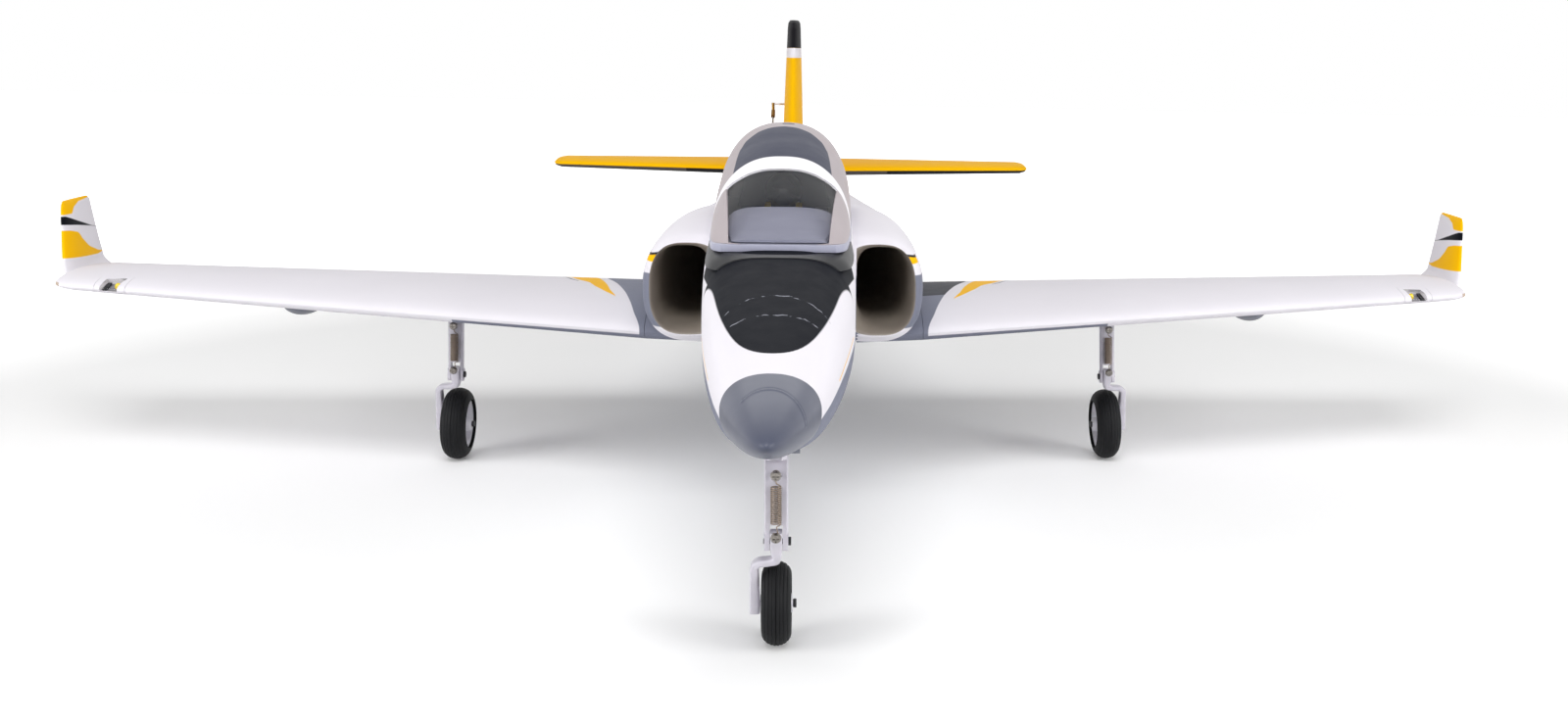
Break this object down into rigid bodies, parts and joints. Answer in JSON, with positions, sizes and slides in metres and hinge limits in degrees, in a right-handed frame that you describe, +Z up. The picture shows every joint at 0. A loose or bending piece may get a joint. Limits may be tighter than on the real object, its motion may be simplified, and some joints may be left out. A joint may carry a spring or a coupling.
{
  "type": "radio-controlled ducted-fan jet aeroplane",
  "caption": "Foam sport jet for radio control: twin side intakes to an enclosed fan, bubble canopy with pilot, winglets, hinged control surfaces and sprung retracting tricycle gear.",
  "frame": {"origin": "on the floor under the middle of the overall box", "axes": "+X to the aircraft's left wing tip, +Y aft towards the tail, +Z up; the nose points to -Y"},
  "size_m": [1.108, 1.14, 0.3435],
  "materials": {
    "white_foam": "satin painted bead foam",
    "grey_paint": "semi-gloss slate grey paint",
    "yellow_paint": "satin golden yellow paint",
    "duct_plastic": "thin moulded liner, dark warm grey",
    "black_plastic": "moulded black plastic",
    "clear_plastic": "clear moulded plastic",
    "grey_alloy": "satin anodised",
    "spring_steel": "bright drawn wire",
    "motor_can": "bare can",
    "tube_plastic": "thin rolled sheet",
    "carbon_tube": "wound carbon tube",
    "tyre_rubber": "matte",
    "hub_plastic": "moulded light grey",
    "cockpit_grey": "matte slate grey",
    "suit_green": "matte",
    "lamp_yellow": "lamp face",
    "cell_wrap": "wrapped cell pack"
  },
  "bodies": {
    "airframe": {"front_fuselage": "white_foam", "rear_fuselage": "white_foam", "nose_cone": "grey_paint", "wing_spar": "carbon_tube", "fan_housing": "black_plastic", "motor": "motor_can", "thrust_tube": "tube_plastic", "battery": "cell_wrap", "speed_controller": "black_plastic", "receiver": "black_plastic", "fin": "yellow_paint", "nose_retract_unit": "black_plastic", "left_intake_duct": "duct_plastic", "left_wing": "white_foam", "left_servo_fairing": "grey_paint", "left_light_cover": "clear_plastic", "left_lamp": "lamp_yellow", "left_stabiliser": "yellow_paint", "left_retract_unit": "black_plastic", "right_intake_duct": "duct_plastic", "right_wing": "white_foam", "right_servo_fairing": "grey_paint", "right_light_cover": "clear_plastic", "right_lamp": "lamp_yellow", "right_stabiliser": "yellow_paint", "right_retract_unit": "black_plastic"},
    "hatch": {"hatch_base": "black_plastic", "canopy_glass": "clear_plastic", "cockpit_tub": "cockpit_grey", "pilot_torso": "suit_green", "pilot_helmet": "black_plastic"},
    "fan": {"fan_rotor": "black_plastic"},
    "rudder": {"rudder": "yellow_paint"},
    "rudder_pushrod": {"rudder_pushrod": "spring_steel"},
    "nose_trunnion": {"nose_trunnion": "grey_alloy"},
    "nose_leg": {"nose_strut": "grey_alloy", "nose_spring": "spring_steel"},
    "nose_link": {"nose_arm": "grey_alloy"},
    "nose_wheel": {"nose_wheel_hub": "hub_plastic", "nose_wheel_tyre": "tyre_rubber"},
    "left_aileron": {"left_aileron": "white_foam"},
    "left_aileron_pushrod": {"left_aileron_pushrod": "spring_steel"},
    "left_flap": {"left_flap": "white_foam"},
    "left_elevator": {"left_elevator": "yellow_paint"},
    "left_leg": {"left_strut": "grey_alloy", "left_spring": "spring_steel"},
    "left_link": {"left_arm": "grey_alloy"},
    "left_wheel": {"left_wheel_hub": "hub_plastic", "left_wheel_tyre": "tyre_rubber"},
    "right_aileron": {"right_aileron": "white_foam"},
    "right_aileron_pushrod": {"right_aileron_pushrod": "spring_steel"},
    "right_flap": {"right_flap": "white_foam"},
    "right_elevator": {"right_elevator": "yellow_paint"},
    "right_leg": {"right_strut": "grey_alloy", "right_spring": "spring_steel"},
    "right_link": {"right_arm": "grey_alloy"},
    "right_wheel": {"right_wheel_hub": "hub_plastic", "right_wheel_tyre": "tyre_rubber"}
  },
  "joints": [
    {"name": "hatch_lift", "type": "slide", "parent": "airframe", "child": "hatch", "axis": [0, 0, 1], "range_m": [0, 0.06]},
    {"name": "fan_spin", "type": "hinge", "parent": "airframe", "child": "fan", "pos_m": [0, 0.042, 0.166], "axis": [0, 1, 0], "continuous": true},
    {"name": "left_aileron_hinge", "type": "hinge", "parent": "airframe", "child": "left_aileron", "pos_m": [0.33, 0.062, 0.13557], "axis": [0.9997, 0, 0.0237], "range_deg": [-20, 20]},
    {"name": "left_aileron_rod", "type": "slide", "parent": "airframe", "child": "left_aileron_pushrod", "axis": [0, 1, 0], "range_m": [-0.0072, 0.0072]},
    {"name": "left_flap_hinge", "type": "hinge", "parent": "airframe", "child": "left_flap", "pos_m": [0.104, 0.062, 0.13018], "axis": [-0.9997, 0, -0.0238], "range_deg": [0, 35]},
    {"name": "left_elevator_hinge", "type": "hinge", "parent": "airframe", "child": "left_elevator", "pos_m": [0.062, 0.478, 0.196], "axis": [1, 0, 0], "range_deg": [-20, 20]},
    {"name": "right_aileron_hinge", "type": "hinge", "parent": "airframe", "child": "right_aileron", "pos_m": [-0.33, 0.062, 0.13557], "axis": [0.9997, 0, -0.0237], "range_deg": [-20, 20]},
    {"name": "right_aileron_rod", "type": "slide", "parent": "airframe", "child": "right_aileron_pushrod", "axis": [0, 1, 0], "range_m": [-0.0072, 0.0072]},
    {"name": "right_flap_hinge", "type": "hinge", "parent": "airframe", "child": "right_flap", "pos_m": [-0.104, 0.062, 0.13018], "axis": [-0.9997, 0, 0.0238], "range_deg": [0, 35]},
    {"name": "right_elevator_hinge", "type": "hinge", "parent": "airframe", "child": "right_elevator", "pos_m": [-0.062, 0.478, 0.196], "axis": [1, 0, 0], "range_deg": [-20, 20]},
    {"name": "rudder_hinge", "type": "hinge", "parent": "airframe", "child": "rudder", "pos_m": [0, 0.50249, 0.256], "axis": [0, 0.1526, 0.9883], "range_deg": [-25, 25]},
    {"name": "rudder_rod", "type": "slide", "parent": "airframe", "child": "rudder_pushrod", "axis": [0, -1, 0], "range_m": [-0.0105, 0.0105]},
    {"name": "left_retract", "type": "hinge", "parent": "airframe", "child": "left_leg", "pos_m": [0.247, -0.008, 0.121], "axis": [0, 1, 0], "range_deg": [0, 90]},
    {"name": "left_trailing_link", "type": "hinge", "parent": "left_leg", "child": "left_link", "pos_m": [0.24933, -0.008, 0.06755], "axis": [0.999, 0, 0.0436], "range_deg": [0, 10], "stiffness_Nm_per_rad": 0.6, "springref_deg": -20.05, "deforming": ["left_spring"]},
    {"name": "left_wheel_spin", "type": "hinge", "parent": "left_link", "child": "left_wheel", "pos_m": [0.25109, 0, 0.0273], "axis": [0.999, 0, 0.0436], "continuous": true},
    {"name": "right_retract", "type": "hinge", "parent": "airframe", "child": "right_leg", "pos_m": [-0.247, -0.008, 0.121], "axis": [0, -1, 0], "range_deg": [0, 90]},
    {"name": "right_trailing_link", "type": "hinge", "parent": "right_leg", "child": "right_link", "pos_m": [-0.24933, -0.008, 0.06755], "axis": [0.999, 0, -0.0436], "range_deg": [0, 10], "stiffness_Nm_per_rad": 0.6, "springref_deg": -20.05, "deforming": ["right_spring"]},
    {"name": "right_wheel_spin", "type": "hinge", "parent": "right_link", "child": "right_wheel", "pos_m": [-0.25109, 0, 0.0273], "axis": [0.999, 0, -0.0436], "continuous": true},
    {"name": "nose_retract", "type": "hinge", "parent": "airframe", "child": "nose_trunnion", "pos_m": [0, -0.389, 0.115], "axis": [1, 0, 0], "range_deg": [0, 90]},
    {"name": "nose_steering", "type": "hinge", "parent": "nose_trunnion", "child": "nose_leg", "pos_m": [0, -0.389, 0.115], "axis": [0, 0, 1], "range_deg": [-20.5, 20.5]},
    {"name": "nose_trailing_link", "type": "hinge", "parent": "nose_leg", "child": "nose_link", "pos_m": [0, -0.389, 0.0598], "axis": [1, 0, 0], "range_deg": [0, 10], "stiffness_Nm_per_rad": 0.4, "springref_deg": -17.19, "deforming": ["nose_spring"]},
    {"name": "nose_wheel_spin", "type": "hinge", "parent": "nose_link", "child": "nose_wheel", "pos_m": [0, -0.381, 0.0225], "axis": [1, 0, 0], "continuous": true}
  ],
  "couplings": [
    {"joint": "right_aileron_hinge", "follows": "left_aileron_hinge", "ratio": -1},
    {"joint": "left_aileron_rod", "follows": "left_aileron_hinge", "m_per_rad": 0.0191},
    {"joint": "right_aileron_rod", "follows": "left_aileron_hinge", "m_per_rad": -0.0191},
    {"joint": "right_flap_hinge", "follows": "left_flap_hinge", "ratio": 1},
    {"joint": "right_elevator_hinge", "follows": "left_elevator_hinge", "ratio": 1},
    {"joint": "rudder_rod", "follows": "rudder_hinge", "m_per_rad": 0.0224},
    {"joint": "right_retract", "follows": "left_retract", "ratio": 1},
    {"joint": "nose_retract", "follows": "left_retract", "ratio": 1},
    {"joint": "nose_steering", "follows": "rudder_hinge", "ratio": -0.8}
  ]
}
